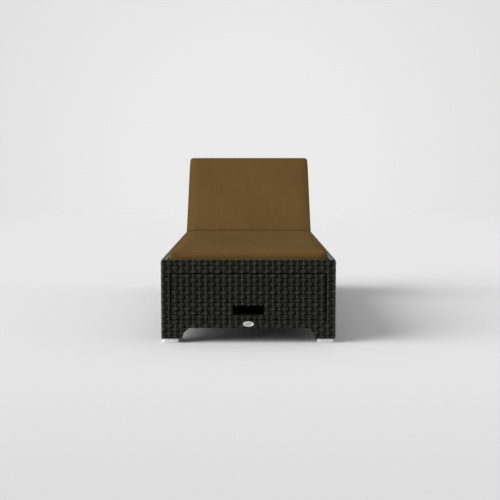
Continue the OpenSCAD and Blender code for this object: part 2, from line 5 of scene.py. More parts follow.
import bpy
import numpy as np
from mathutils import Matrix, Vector


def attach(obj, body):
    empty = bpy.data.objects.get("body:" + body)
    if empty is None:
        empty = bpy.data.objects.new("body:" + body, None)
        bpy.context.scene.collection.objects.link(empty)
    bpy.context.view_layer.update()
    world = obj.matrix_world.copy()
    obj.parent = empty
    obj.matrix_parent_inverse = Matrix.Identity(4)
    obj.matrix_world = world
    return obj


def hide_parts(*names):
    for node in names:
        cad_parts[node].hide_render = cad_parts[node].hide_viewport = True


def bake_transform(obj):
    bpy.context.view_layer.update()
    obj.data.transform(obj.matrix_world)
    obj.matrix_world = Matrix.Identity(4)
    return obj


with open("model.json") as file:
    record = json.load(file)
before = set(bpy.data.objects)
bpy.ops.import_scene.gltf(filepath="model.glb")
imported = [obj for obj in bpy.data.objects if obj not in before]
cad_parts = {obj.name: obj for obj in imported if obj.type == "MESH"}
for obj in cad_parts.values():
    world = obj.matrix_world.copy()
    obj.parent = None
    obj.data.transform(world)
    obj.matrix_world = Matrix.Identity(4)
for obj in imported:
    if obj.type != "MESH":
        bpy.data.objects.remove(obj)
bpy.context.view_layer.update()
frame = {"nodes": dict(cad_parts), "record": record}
nodes = frame["nodes"]

# Sizes of the CAD frame. The top rails' weave goes from RAIL_Z to RAIL_TOP, which is 1.5 to 3 mm
# inside the solid's own height
HALF_W, HALF_L, CORNER_R = 0.380, 1.020, 0.009
FOOT_H, ARCH_Z, LOW_TOP, RAIL_Z, RAIL_TOP = 0.018, 0.066, 0.101, 0.305, 0.3625
RAIL_W, EDGE_R, LEG_W, POST_W, ARCH_R = 0.030, 0.006, 0.090, 0.040, 0.048
FOOT_X, FOOT_Y, FOOT_W = 0.338, 0.9755, 0.067
BADGE_HALF_W, BADGE_HALF_H, BADGE_Z = 0.0230, 0.0118, (ARCH_Z + LOW_TOP) / 2
PIVOT_Y, PIVOT_Z, RECLINE = 0.3672, 0.292, np.radians(46.8)

# The weave: upright stakes, with flat strands that pass over and under them in pairs
SIDE_RUN = HALF_W - CORNER_R
LONG_RUN = HALF_L - CORNER_R
CORNER_ARC = CORNER_R * np.pi / 2
OUTLINE = 4 * (SIDE_RUN + LONG_RUN + CORNER_ARC)
STAKES = 210
PITCH = OUTLINE / STAKES
PER_STAKE = 6
STRAND_W, STRAND_T, STAKE_W, STAKE_T = 0.0085, 0.0026, 0.0084, 0.0024
WAVE, NARROWING, CLOSER, LEAN = 0.0018, 0.0042, 0.0002, 0.0005
# Middle of the weave, measured from the CAD frame's outer face, which its crests pass a little
DEPTH = -0.0012
RING_ACROSS = np.array([1, 0.62, -0.62, -1, -0.62, 0.62]) / 2
RING_OUT = np.array([0, 1, 1, 0, -1, -1]) / 2
# Rows of each part, and the number of its first row, counted from the feet up
LEG_ROWS, LOW_ROWS, PANEL_ROWS, RAIL_ROWS, OUTER_ROWS = 6, 4, 23, 20, 8
LOW_ROW, PANEL_ROW, RAIL_ROW = 6, 11, 34
# Height of a row on the inner faces, how far in they begin behind the outer weave, and depths of
# the plates that close the view behind it
INNER_ROW_H, SKIN = 0.0087, 0.006
LIP_DEPTH, CORNER_DEPTH, LINING_DEPTH = 0.0049, 0.0068, 0.0069


# Meshes

def put(data, key, values, kind=np.float32):
    """Writes a whole array into a mesh."""
    data.foreach_set(key, np.ascontiguousarray(values, kind).ravel())


def mesh_piece(name, points, faces, uv=None, **marks):
    """Object from an array of points and an array of quads. uv holds two values for each corner
    of each quad, and each mark one value for each point."""
    mesh = bpy.data.meshes.new(name)
    mesh.vertices.add(len(points))
    put(mesh.vertices, "co", points)
    mesh.loops.add(faces.size)
    put(mesh.loops, "vertex_index", faces, np.int32)
    mesh.polygons.add(len(faces))
    put(mesh.polygons, "loop_start", np.arange(0, faces.size, 4), np.int32)
    mesh.update(calc_edges=True)
    put(mesh.polygons, "use_smooth", np.ones(len(faces)), bool)
    if uv is not None:
        put(mesh.uv_layers.new(name="strand").data, "uv", uv)
    for mark, values in marks.items():
        put(mesh.attributes.new(mark, "FLOAT", "POINT").data, "value", values)
    mesh.validate()
    obj = bpy.data.objects.new(name, mesh)
    bpy.context.collection.objects.link(obj)
    return obj


def outward(points, faces):
    """The same quads, turned round where the closed shape they make has a negative volume: the
    sum over the quads of each corner times the cross product of its two diagonals."""
    a, b, c, d = (points[faces[:, k]] for k in range(4))
    volume = np.einsum("ij,ij->", a, np.cross(c - a, d - b))
    return faces[:, ::-1] if volume < 0 else faces


def tube_quads(count, samples, ring, closed=False, first=1):
    """Quads of count tubes, each with samples rings of ring points: neighbours along and round
    the tube are joined, and an open tube gets a strip of quads over each end, which begins at the
    point first."""
    index = np.arange(count * samples * ring).reshape(count, samples, ring)
    ahead = np.roll(index, -1, 1) if closed else index[:, 1:]
    here = index if closed else index[:, :-1]
    quads = [np.stack([here, ahead, np.roll(ahead, -1, 2), np.roll(here, -1, 2)], -1)]
    if not closed:
        k = np.arange(ring // 2 - 1)
        strip = (np.stack([k, k + 1, ring - 2 - k, ring - 1 - k], -1) + first) % ring
        quads += [index[:, 0][:, strip], index[:, -1][:, strip[:, ::-1]]]
    return np.concatenate([part.reshape(-1, 4) for part in quads])


class Weave:
    """Gathers strands as whole arrays and makes one piece of them."""

    def __init__(self, name, finish=None):
        self.name, self.parts, self.finish = name, [], finish or resin

    def add(self, strands, along, closed=False):
        """strands are points (strands, samples, ring, 3) and how far each stands out, from 0 to 1,
        a mark that sets the painted shade of the weave. along is the length at each (strand,
        sample). On the UV map each strand has its length on the first axis and a lane of its own
        on the second."""
        points, high = strands
        count, samples, ring = points.shape[:3]
        points = points.reshape(-1, 3)
        quads = tube_quads(count, samples, ring, closed)
        one = tube_quads(1, samples, ring, closed)
        if (outward(points[: samples * ring], one) != one).any():
            quads = quads[:, ::-1]
        before = len(self.parts)
        rng = np.random.default_rng(7 + before)
        tone = np.broadcast_to(rng.random(count)[:, None, None], (count, samples, ring))
        run = np.broadcast_to(along[:, :, None], (count, samples, ring))
        lane = np.broadcast_to(np.arange(ring) / ring, (count, samples, ring))
        lane = lane + np.arange(count)[:, None, None] * 3 + 40 * (before + 1)
        uv = np.stack([run, lane], -1).reshape(-1, 2)
        high = np.broadcast_to(high, (count, samples, ring))
        self.parts.append((points, quads, uv, tone.ravel(), high.ravel()))

    def make(self, body, *replaced):
        """One object that rides on body and stands for the replaced CAD nodes."""
        base = np.cumsum([0] + [len(p[0]) for p in self.parts])
        points = np.concatenate([p[0] for p in self.parts])
        faces = np.concatenate([p[1] + b for p, b in zip(self.parts, base)])
        uv = np.concatenate([p[2] for p in self.parts])[faces]
        tone, high = (np.concatenate([p[k] for p in self.parts]) for k in (3, 4))
        obj = mesh_piece(self.name, points, faces, uv, tone=tone, high=high)
        obj.data.materials.append(self.finish)
        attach(obj, body)
        if replaced:
            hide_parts(*replaced)
        return obj


# Places: functions of s along a surface, v up it and n out of it

def around(s, inset, half_w=HALF_W, half_l=HALF_L, r=CORNER_R, mid_y=0.0):
    """X and Y of the point at s along a rectangle with round corners, pulled in by inset. A
    straight run adds its length along its side, and a corner turns about its own centre. s starts
    in the middle of the foot end and goes to the right. Past the corner's radius an inset line
    meets its neighbour in a mitre."""
    ax, ay, arc = half_w - r, half_l - r, r * np.pi / 2
    stops = np.cumsum([0, ax, arc, 2 * ay, arc, 2 * ax, arc, 2 * ay, arc, ax])
    s = np.mod(s, stops[-1])
    cx = np.interp(s, stops, [0, ax, ax, ax, ax, -ax, -ax, -ax, -ax, 0])
    cy = np.interp(s, stops, [-ay, -ay, -ay, ay, ay, ay, ay, -ay, -ay, -ay])
    turn = np.interp(s, stops, np.radians([-90, -90, 0, 0, 90, 90, 180, 180, 270, 270]))
    wide, deep = half_w - inset, half_l - inset
    x = np.clip(cx + (r - inset) * np.cos(turn), -wide, wide)
    y = np.clip(cy + (r - inset) * np.sin(turn), -deep, deep)
    return x, y + mid_y


def section(start, runs, r):
    """Line in the plane of inset and height, made of straight runs, each a length and a direction
    in degrees, joined by arcs of radius r. Returns its length and a function of the distance
    along it and the offset n to its left, which gives inset and height: the running sum of the
    direction's cosine and sine, plus n times its normal."""
    stops, turns, v = [0.0], [runs[0][1]], 0.0
    for k, (length, deg) in enumerate(runs):
        v += length - r * ((k > 0) + (k < len(runs) - 1))
        stops.append(v)
        turns.append(deg)
        if k < len(runs) - 1:
            v += r * np.pi / 2
            stops.append(v)
            turns.append(runs[k + 1][1])
    grid = np.linspace(0, v, 4001)
    turn = np.radians(np.interp(grid, stops, turns))
    step = grid[1]

    def running(values, first):
        return first + step * np.concatenate([[0], np.cumsum((values[1:] + values[:-1]) / 2)])

    inset, height = running(np.cos(turn), start[0]), running(np.sin(turn), start[1])

    def at(v, n):
        a = np.interp(v, grid, turn)
        return (np.interp(v, grid, inset) - n * np.sin(a),
                np.interp(v, grid, height) + n * np.cos(a))
    return v, at


def wrapped(line, **outline):
    """Places (s, v, n): s along the outline, v along the section line, n out of its surface."""
    def place(s, v, n):
        inset, z = line(v, n)
        x, y = around(s, inset, **outline)
        return np.stack(np.broadcast_arrays(x, y, z), -1)
    return place


def facing(side):
    """One straight side: 0 the foot end, 1 the right, 2 the head end and 3 the left. Returns half
    its length, the directions along it and out of it, and a function that gives the point at s
    from its middle, inset from its outer face and at height z: s times the first direction plus
    the remaining depth times the second."""
    half, across = ((HALF_W, HALF_L), (HALF_L, HALF_W))[side % 2]
    c, d = ((1, 0), (0, 1), (-1, 0), (0, -1))[side]

    def spot(s, inset, z):
        out = across - inset
        return np.stack(np.broadcast_arrays(c * s + d * out, d * s - c * out, z), -1)
    return half, np.array([c, d, 0]), np.array([d, -c, 0]), spot


def mitred(line, side):
    """Places (s, v, n) on one straight side, with s from its middle. The last 50 mm are drawn out
    or in to end on the mitre."""
    half, _, _, spot = facing(side)
    inner = half - 0.05

    def place(s, v, n):
        inset, z = line(v, n)
        far = np.abs(s)
        reach = inner + (far - inner) * (half - inset - inner) / (half - inner)
        return spot(np.sign(s) * np.where(far > inner, reach, far), inset, z)
    return place


def flat(origin, along, up, out):
    """Places (s, v, n) on a flat panel: origin plus s, v and n times three directions."""
    origin, along, up, out = (np.array(a, float) for a in (origin, along, up, out))

    def place(s, v, n):
        s, v, n = (np.asarray(a)[..., None] for a in np.broadcast_arrays(s, v, n))
        return origin + s * along + v * up + n * out
    return place


# Strands

def by_turns(k):
    """1 for each even number and -1 for each odd one."""
    return np.where(np.mod(k, 2) == 0, 1.0, -1.0)


def spread(lo, hi, samples, count=1):
    """Rows of evenly spaced values from each lo to each hi. Single ones make count equal rows."""
    lo, hi, _ = np.broadcast_arrays(np.asarray(lo, float), np.asarray(hi, float), np.zeros(count))
    return lo[:, None] + (hi - lo)[:, None] * np.linspace(0, 1, samples)


def rows(lo, hi, count):
    """Middles of count equal rows between lo and hi."""
    return lo + (hi - lo) * (np.arange(count) + 0.5) / count


def weft(place, s, v, row, phase=0.0, swing=1.0):
    """Strands along s, one for each v. Each is a flat six-sided tube whose middle swings in and
    out by a cosine of s, once for two stakes. row counts the rows: two at a time swing the same
    way and lie closer together. Where the lower of the two goes in, by the positive part of the
    sine to the power 0.6, it draws its lower edge up, and a slit opens below it. The upper one
    does so by 0.12 of that. How far a point stands out is its share of the swing, less a tenth on
    the outer edges of the two. This mark sets the painted shade of the weave, and the tenth less
    on the outer edges is painted shade that makes each pair read as one rounded band."""
    sign = by_turns(row // 2)[:, None]
    angle = np.pi * (s + phase) / PITCH
    out = DEPTH + (swing * WAVE * sign * np.cos(angle))[:, :, None] + STRAND_T * RING_OUT
    lower = np.mod(row, 2) < 1
    drawn = (NARROWING * np.where(lower, 1.0, 0.12)[:, None]
             * np.maximum(sign * np.sin(angle), 0) ** 0.6)
    v = v + CLOSER * np.where(lower, 1, -1)
    across = ((v[:, None] + drawn / 2)[:, :, None]
              + (STRAND_W - 2 * CLOSER - drawn)[:, :, None] * RING_ACROSS)
    # Painted shade: the outer edges of each pair get a lower mark, so they are painted darker
    edge = 0.10 * np.maximum(RING_ACROSS * np.where(lower, -2, 2)[:, None], 0)[:, None, :]
    high = (out - DEPTH) / (2 * swing * WAVE + STRAND_T) + 0.5 - edge
    return place(s[:, :, None], across, out), high


def warp(place, s, v, sign, row):
    """Stakes along v, one for each s: flat six-sided tubes that lean away from the strands that
    pass over them, by a cosine of the row number once for four rows. Their mark of how far they
    stand out is 0.78, more or less 0.15 as they lean, a painted shade: a stake is painted darker
    where strands pass over it."""
    free = (-sign[:, None] * np.cos(np.pi * (row - 1) / 2))[:, :, None]
    out = DEPTH + LEAN * free + STAKE_T * RING_OUT
    return place(s[:, None, None] + STAKE_W * RING_ACROSS, v[:, :, None], out), 0.78 + 0.15 * free


def plate(place, s, v, depth, thick=0.0008, high=0.5):
    """Thin plate, as one strand with four points round it. The last axis of s and v holds the
    plate's two edges, and its face lies at that depth. Its mark of how far it stands out is low,
    so it is painted with the full shade of the deepest weave."""
    s, v = (a[..., [0, 1, 1, 0]] for a in np.broadcast_arrays(s, v))
    return place(s, v, -depth - thick * np.array([0, 0, 1, 1]))[None], high


# Finishes

def feed(made, inputs):
    """Gives a node's inputs, each named or numbered, a value or a link from a socket."""
    for key, value in inputs.items():
        if isinstance(value, bpy.types.NodeSocket):
            made.id_data.links.new(value, made.inputs[key])
        else:
            made.inputs[key].default_value = value


def node(tree, kind, inputs, **settings):
    """A new shader node of that kind with its settings and inputs. Returns its outputs."""
    made = tree.nodes.new("ShaderNode" + kind)
    for key, value in settings.items():
        setattr(made, key, value)
    feed(made, inputs)
    return made.outputs


def shader(name, colour, rough, metal=0.0, gloss=0.5):
    """A material with its own principled shader, and the node tree to add a pattern to."""
    made = bpy.data.materials.new(name)
    made.use_nodes = True
    tree = made.node_tree
    main = tree.nodes["Principled BSDF"]
    feed(main, {"Base Color": (*colour, 1), "Roughness": rough, "Metallic": metal,
                "Specular IOR Level": gloss})
    made.diffuse_color = (*colour, 1)
    return made, tree, main


def stretched(tree, source, stretch):
    """Object coordinates, or the piece's UV map, times the stretch."""
    return node(tree, "Mapping", {"Vector": node(tree, "TexCoord", {})[source],
                                  "Scale": stretch})["Vector"]


def noise(tree, scale, source="Object", stretch=(1, 1, 1), detail=2.0):
    """Noise on stretched coordinates."""
    return node(tree, "TexNoise", {"Vector": stretched(tree, source, stretch), "Scale": scale,
                                   "Detail": detail})["Fac"]


def waves(tree, scale, axis, source="Object", stretch=(1, 1, 1)):
    """Even bands that follow one another along the axis, on stretched coordinates."""
    return node(tree, "TexWave", {"Vector": stretched(tree, source, stretch), "Scale": scale},
                bands_direction=axis)["Color"]


def ramp(value, lo, hi, at=(0.3, 0.7), more=()):
    """Colour or grey that goes from lo to hi as value goes between the two stops. more gives
    further stops and their greys."""
    colours = node(value.id_data, "ValToRGB", {"Fac": value})["Color"]
    ends = colours.node.color_ramp.elements
    for end, colour, stop in zip(ends, (lo, hi), at):
        colour = (colour,) * 3 if np.isscalar(colour) else colour
        end.color, end.position = (*colour, 1), stop
    for stop, grey in more:
        ends.new(stop).color = (grey, grey, grey, 1)
    return colours


def bump(main, height, strength, distance):
    """Relief from a height, laid over any relief that the shader already has."""
    relief = {"Height": height, "Strength": strength, "Distance": distance}
    if main.inputs["Normal"].is_linked:
        relief["Normal"] = main.inputs["Normal"].links[0].from_socket
    feed(main, {"Normal": node(main.id_data, "Bump", relief)["Normal"]})


def mixed(a, b, share=1.0, how="MULTIPLY"):
    """Two colours multiplied, or mixed in another way."""
    return node(a.id_data, "Mix", {0: share, 6: a, 7: b}, data_type="RGBA",
                blend_type=how)[2]


def resin_finish(name, rough, gloss):
    """Charcoal resin: each strand has its own tone, with fine drawn streaks along it. It is
    painted darker where it lies deep in the weave, and its specular level is turned down there:
    painted shade of the weave's recesses. rough is the range of its roughness and gloss the
    specular level of its crests."""
    made, tree, main = shader(name, (0.012, 0.0122, 0.0105), rough[1])
    tone, high = (node(tree, "Attribute", {}, attribute_name=mark)["Fac"]
                  for mark in ("tone", "high"))
    streak = noise(tree, 1.0, "UV", (30, 14, 1), 3.0)
    each = ramp(tone, (0.022, 0.0224, 0.0196), (0.038, 0.0386, 0.0345), (0, 1))
    drawn = mixed(each, ramp(streak, 0.8, 1.2))
    # Painted shade: colour and specular level follow the mark of how far each point stands out,
    # dark and dull in the recesses, full at the crests
    feed(main, {
        "Base Color": mixed(drawn, ramp(high, 0.355, 1.10, (0.80, 1.0))),
        "Specular IOR Level": ramp(high, 0.12, gloss, (0.74, 1.0)),
        "Roughness": ramp(streak, *rough)})
    bump(main, streak, 0.35, 0.0004)
    return made


def deck_finish():
    """Flat weave of a deck: two waves, one across the other, make the strands over and under."""
    made, tree, main = shader("deck_weave", (0.018, 0.0185, 0.0165), 0.5)
    woven = mixed(waves(tree, 18.0, "X"), waves(tree, 55.0, "Y"), 0.5, "MIX")
    bump(main, woven, 0.8, 0.003)
    # Painted shade: the colour follows the same waves as the relief, darker where the strands lie
    # low
    feed(main, {"Base Color": ramp(woven, (0.008, 0.0085, 0.007), (0.024, 0.0245, 0.022))})
    return made


def coat_finish():
    """Dark powder coat on the frame's tubes: even, with a fine pebble."""
    made, tree, main = shader("powder_coat", (0.006, 0.006, 0.006), 0.5, gloss=0.15)
    bump(main, noise(tree, 900.0, detail=1.0), 0.25, 0.0003)
    feed(main, {"Roughness": ramp(noise(tree, 12.0, detail=4.0), 0.44, 0.58)})
    return made


def metal_finish(name, colour, rough, stretch, scale=60.0, metal=1.0):
    """Brushed metal: long fine scratches change the gloss and the relief."""
    made, tree, main = shader(name, colour, rough, metal)
    scratch = noise(tree, scale, stretch=stretch, detail=3.0)
    feed(main, {"Roughness": ramp(scratch, rough - 0.07, rough + 0.08)})
    bump(main, scratch, 0.08, 0.0002)
    return made


def shade_badge(made):
    """The badge's middle is brushed darker than its rim: the distance from its centre, with each
    axis divided by the oval's half width, goes through a ramp."""
    tree = made.node_tree
    centred = node(tree, "Mapping", {"Vector": node(tree, "TexCoord", {})["Object"],
                                     "Location": (0, 0, BADGE_Z),
                                     "Scale": (BADGE_HALF_W, 1000, BADGE_HALF_H)},
                   vector_type="TEXTURE")["Vector"]
    far = node(tree, "VectorMath", {0: centred}, operation="LENGTH")["Value"]
    feed(tree.nodes["Principled BSDF"], {
        "Base Color": ramp(far, (0.53, 0.53, 0.52), (0.79, 0.79, 0.78), (0.60, 0.74))})


def moulded_finish(name, colour, rough, scale, gloss=0.5):
    """Moulded plastic or rubber with a fine stipple."""
    made, tree, main = shader(name, colour, rough, gloss=gloss)
    bump(main, noise(tree, scale, detail=1.0), 0.2, 0.0002)
    feed(main, {"Roughness": ramp(noise(tree, 9.0, detail=3.0), max(rough - 0.06, 0.05),
                                  rough + 0.06)})
    return made


def cloth_finish():
    """Olive-brown outdoor cloth: a fine plain weave of threads on the pad's own flat measure, with
    ribs 3.9 mm apart and slubs that run along it, and a soft mottle."""
    made, tree, main = shader("olive_cloth", (0.1245, 0.0745, 0.0242), 0.95, gloss=0.02)
    threads = mixed(waves(tree, 1.0, "X", "UV", (230, 0.001, 1)),
                    waves(tree, 1.0, "Y", "UV", (0.001, 230, 1)), 0.5, "MIX")
    rib = waves(tree, 1.0, "X", "UV", (80.5, 0.001, 1))
    slub = noise(tree, 1.0, "UV", (260, 7, 1), 3.0)
    mottle = noise(tree, 3.0, "UV", detail=4.0)
    base = ramp(slub, (0.117, 0.0695, 0.0222), (0.132, 0.0792, 0.0260))
    shaded = mixed(base, ramp(mottle, 0.93, 1.07))
    feed(main, {"Base Color": mixed(shaded, ramp(rib, 0.93, 1.07, (0, 1)))})
    for height, strength, distance in ((mottle, 0.25, 0.004), (rib, 0.3, 0.0006),
                                       (threads, 0.3, 0.0004)):
        bump(main, height, strength, distance)
    return made


resin = resin_finish("charcoal_resin", (0.26, 0.40), 0.4)
rubbed_resin = resin_finish("rubbed_resin", (0.16, 0.26), 1.0)
foot_metal = metal_finish("satin_foot_metal", (0.90, 0.90, 0.90), 0.45, (1, 1, 25), metal=0.5)
badge_metal = metal_finish("satin_badge_metal", (0.78, 0.78, 0.77), 0.4, (25, 1, 1), 90.0, 0.6)
shade_badge(badge_metal)
cloth = cloth_finish()
finish_of = {
    "deck_weave": deck_finish(),
    "frame_paint": coat_finish(),
    "foot_metal": foot_metal,
    "badge_metal": badge_metal,
    "bolt_steel": metal_finish("zinc_plate", (0.56, 0.56, 0.57), 0.36, (6, 1, 6)),
    "runner_steel": metal_finish("black_zinc_sheet", (0.035, 0.035, 0.036), 0.48, (1, 14, 1)),
    "drawer_plastic": moulded_finish("black_drawer_sheet", (0.006, 0.006, 0.006), 0.8, 700.0,
                                     0.05),
    "bush_nylon": moulded_finish("nylon", (0.70, 0.67, 0.56), 0.45, 500.0),
    "cap_rubber": moulded_finish("rubber", (0.008, 0.008, 0.008), 0.75, 800.0),
    "weave": resin,
    "pad_fabric": cloth}
for part in frame["record"]["subparts"]:
    for holder in nodes[part["node"]].material_slots:
        holder.material = finish_of[part["material_slot"]]


# Woven frame

def arch_edge(z, foot):
    """Where the woven leg begins at height z: the arch's corner is a quarter circle of radius
    ARCH_R about the point foot, which lies at the foot's top, so the edge is foot plus the root
    of the radius squared less the height squared."""
    return foot + np.sqrt(np.maximum(ARCH_R ** 2 - (z - FOOT_H) ** 2, 0))


ARCH_X = HALF_W - LEG_W - ARCH_R
ARCH_Y = HALF_L - LEG_W - ARCH_R
wall = wrapped(section((0, 0), [(RAIL_Z, 90)], 0)[1])
low_rows = rows(ARCH_Z, LOW_TOP, LOW_ROWS)
panel_rows = rows(LOW_TOP, RAIL_Z, PANEL_ROWS)
leg_rows = rows(FOOT_H, ARCH_Z, LEG_ROWS)
corner_s = SIDE_RUN + CORNER_ARC / 2
corners = [corner_s, OUTLINE / 2 - corner_s, OUTLINE / 2 + corner_s, OUTLINE - corner_s]
loop = np.arange(STAKES * PER_STAKE) * PITCH / PER_STAKE

# Strands of the side and head panels and of the posts, from one side of the drawer round to the
# other, in two pieces. They stop 3 mm short of the posts' edges beside the drawer
post_s = HALF_W - POST_W + 0.003
panel_s = spread(post_s, OUTLINE - post_s, int((OUTLINE - 2 * post_s) / PITCH * PER_STAKE),
                 PANEL_ROWS)
for name, part, stood_for in (
        ("panel_strands_lower", np.arange(12), ("side_weave_left", "side_weave_right",
                                                "rear_weave")),
        ("panel_strands_upper", np.arange(12, PANEL_ROWS), ("post_weave",))):
    panel = Weave(name)
    panel.add(weft(wall, panel_s[part], panel_rows[part], PANEL_ROW + part), panel_s[part])
    panel.make("base", *stood_for)

# Strands of the lower rails and legs
low = Weave("lower_rail_and_leg_strands")
low_s = np.broadcast_to(loop, (LOW_ROWS, len(loop)))
low.add(weft(wall, low_s, low_rows, LOW_ROW + np.arange(LOW_ROWS)), low_s, closed=True)
front_reach = CORNER_ARC / 2 + SIDE_RUN - arch_edge(leg_rows, ARCH_X)
side_reach = CORNER_ARC / 2 + LONG_RUN - arch_edge(leg_rows, ARCH_Y)
for k, middle in enumerate(corners):
    before, after = (front_reach, side_reach)[:: 1 if k % 2 == 0 else -1]
    leg_s = spread(middle - before, middle + after, samples=50)
    low.add(weft(wall, leg_s, leg_rows, np.arange(LEG_ROWS)), leg_s)
# Thin plate behind the weave of each arch corner: from 1.5 mm round the quarter circle out to a
# square 14 mm past it
turn = np.linspace(0, np.pi / 2, 14)[:, None]
plate_r = np.hstack([np.full_like(turn, ARCH_R + 0.0015),
                     (ARCH_R + 0.014) / np.maximum(np.cos(turn), np.sin(turn))])
for k, middle in enumerate(corners):
    for sign in (-1, 1):
        on_end = (sign < 0) == (k % 2 == 0)
        reach = CORNER_ARC / 2 + (SIDE_RUN - ARCH_X if on_end else LONG_RUN - ARCH_Y)
        low.add(plate(wall, middle + sign * (reach - plate_r * np.cos(turn)),
                      FOOT_H + plate_r * np.sin(turn), CORNER_DEPTH, thick=0.0010, high=0.6),
                turn.T * ARCH_R)
# Thin plate behind the weave of the lower rails
s = loop[::3]
low.add(plate(wall, s[:, None], [ARCH_Z + 0.001, LOW_TOP], LIP_DEPTH), s[None], closed=True)
low.make("base", "lower_rail_weave", "leg_weave", "arch_corners")

# Thin dark lining behind the side and head panels: it blocks the light through the gaps and is
# painted with the full shade of the deepest weave, standing in for the shade inside the frame
lining = Weave("panel_lining")
s = np.linspace(post_s, OUTLINE - post_s, 240)
lining.add(plate(wall, s[:, None], [LOW_TOP, RAIL_Z], LINING_DEPTH), s[None])
lining.make("base")

# Stakes of the walls: from the leg's foot, the arch's edge or the lower rail's underside up to
# the rail, or to the top of the lower rail under the drawer
stake_s = np.arange(STAKES) * PITCH
stake_sign = by_turns(np.arange(STAKES))
stake_x, stake_y = around(stake_s, 0)
at_end = np.abs(stake_y) > LONG_RUN + CORNER_R / 2
from_arch = np.where(at_end, np.abs(stake_x) - ARCH_X, np.abs(stake_y) - ARCH_Y)
lowest = FOOT_H + np.sqrt(np.maximum(ARCH_R ** 2 - np.clip(from_arch, 0, ARCH_R) ** 2, 0))
highest = np.where((stake_y < -LONG_RUN) & (np.abs(stake_x) < post_s), LOW_TOP, RAIL_Z)
stake_v = spread(lowest, highest, samples=67)
stake_row = np.interp(stake_v, [FOOT_H, ARCH_Z, LOW_TOP, LOW_TOP + 0.0001, RAIL_Z],
                      [0, LOW_ROW, LOW_ROW + LOW_ROWS, PANEL_ROW, RAIL_ROW])
wall_stakes = Weave("wall_stakes")
wall_stakes.add(warp(wall, stake_s, stake_v, stake_sign, stake_row), stake_v)
wall_stakes.make("base")

# Top rails: the weave goes up the outer face, over the top, down the inner face and underneath
rail_h = RAIL_TOP - RAIL_Z
rail_v, rail_line = section((0, RAIL_Z), [(rail_h, 90), (RAIL_W, 0), (rail_h, -90),
                                          (RAIL_W - 0.002, -180)], EDGE_R)
rail_rows = rows(0, rail_v, RAIL_ROWS)
rail_number = RAIL_ROW + np.arange(RAIL_ROWS)
rail_outer = Weave("rail_strands_outer")
rail_s = np.broadcast_to(loop, (OUTER_ROWS, len(loop)))
rail_outer.add(weft(wrapped(rail_line), rail_s, rail_rows[:OUTER_ROWS],
                    rail_number[:OUTER_ROWS]), rail_s, closed=True)
rail_outer.make("base", "rail_weave_front", "rail_weave_rear", "rail_weave_left",
                "rail_weave_right")
rail_inner = Weave("rail_strands_inner", rubbed_resin)
rail_stakes = Weave("rail_stakes")
for side in range(4):
    half = facing(side)[0]
    place = mitred(rail_line, side)
    count = int(2 * half / PITCH * PER_STAKE)
    s = np.broadcast_to(np.linspace(-half, half, count), (RAIL_ROWS - OUTER_ROWS, count))
    middle = OUTLINE * side / 4
    rail_inner.add(weft(place, s, rail_rows[OUTER_ROWS:], rail_number[OUTER_ROWS:], middle, 0.4),
                   s)
    near = np.mod(stake_s - middle + OUTLINE / 2, OUTLINE) - OUTLINE / 2
    clear = np.abs(near) < half - RAIL_W - STAKE_W
    v = spread(EDGE_R, rail_v, samples=41, count=clear.sum())
    rail_stakes.add(warp(place, near[clear], v, stake_sign[clear],
                         RAIL_ROW + RAIL_ROWS * v / rail_v), v)
# The stakes at the corners end at the rail's top
short = ~((np.abs(stake_x) < HALF_W - RAIL_W - STAKE_W)
          | (np.abs(stake_y) < HALF_L - RAIL_W - STAKE_W))
v = spread(0, rail_h, samples=16, count=short.sum())
rail_stakes.add(warp(wrapped(rail_line), stake_s[short], v, stake_sign[short],
                     RAIL_ROW + RAIL_ROWS * v / rail_v), v)
rail_inner.make("base")
rail_stakes.make("base")

# Soffits of the arches: strands follow the arch from foot to foot, stakes cross it
soffits = Weave("arch_soffits")
inner_faces = Weave("inner_faces")


def arch_place(side):
    """Places (s, v, n) under one arch: s runs up the leg, round the quarter circle, along the
    rail and down again, v goes inwards from the outer face, and n is out of the soffit. Half a
    millimetre of straight line is left at each end of the quarter circle."""
    half, _, _, spot = facing(side)
    edge = half - LEG_W
    length, line = section((-edge, FOOT_H), [(ARCH_R, 90), (2 * edge, 0), (ARCH_R, -90)],
                           ARCH_R - 0.0005)

    def place(s, v, n):
        along, z = line(s, -n)
        return spot(along, v, z)
    return length, place


def patch(weave, place, width, height):
    """Rows and stakes on a panel of that width and height."""
    count = max(int(round(height / INNER_ROW_H)), 1)
    s = spread(0, width, max(int(width / PITCH * PER_STAKE), 6), count)
    weave.add(weft(place, s, rows(0, height, count), np.arange(count), PITCH / 2), s)
    middles = np.arange(PITCH / 2, width, PITCH)
    if len(middles):
        v = spread(0, height, 2 * count + 1, len(middles))
        sign = -by_turns(np.arange(len(middles)))
        weave.add(warp(place, middles, v, sign, v / height * count), v)


for side in range(4):
    length, place = arch_place(side)
    patch(soffits, place, length, RAIL_W)
    half, along, out, spot = facing(side)
    edge, up = half - LEG_W, (0, 0, 1)
    # Inner face and top of the lower rail, then one inner face of two legs and of two posts. The
    # neighbouring sides make their other inner faces
    patch(inner_faces, flat(spot(edge, RAIL_W, ARCH_Z), -along, up, -out), 2 * edge,
          LOW_TOP - ARCH_Z)
    patch(inner_faces, flat(spot(-edge, SKIN, LOW_TOP - 0.0015), along, -out, up), 2 * edge,
          RAIL_W - SKIN)
    for end in (-1, 1):
        face = -end * along
        patch(inner_faces, flat(spot(end * edge, RAIL_W, FOOT_H), -out, up, face),
              LEG_W - RAIL_W, LOW_TOP - FOOT_H)
        patch(inner_faces, flat(spot(end * (half - SKIN), POST_W, LOW_TOP), face, up, -out),
              POST_W - SKIN, RAIL_Z - LOW_TOP)
soffits.make("base")
inner_faces.make("base")

# Drawer front: rows cut at the hand slot, wrapped round the board's edges
FRONT_X, FRONT_LOW, FRONT_TOP, SLOT_X = 0.3358, 0.1014, 0.3015, 0.069
FRONT_R, FRONT_EDGE, FRONT_SIDE = 0.002, 0.016, 0.010
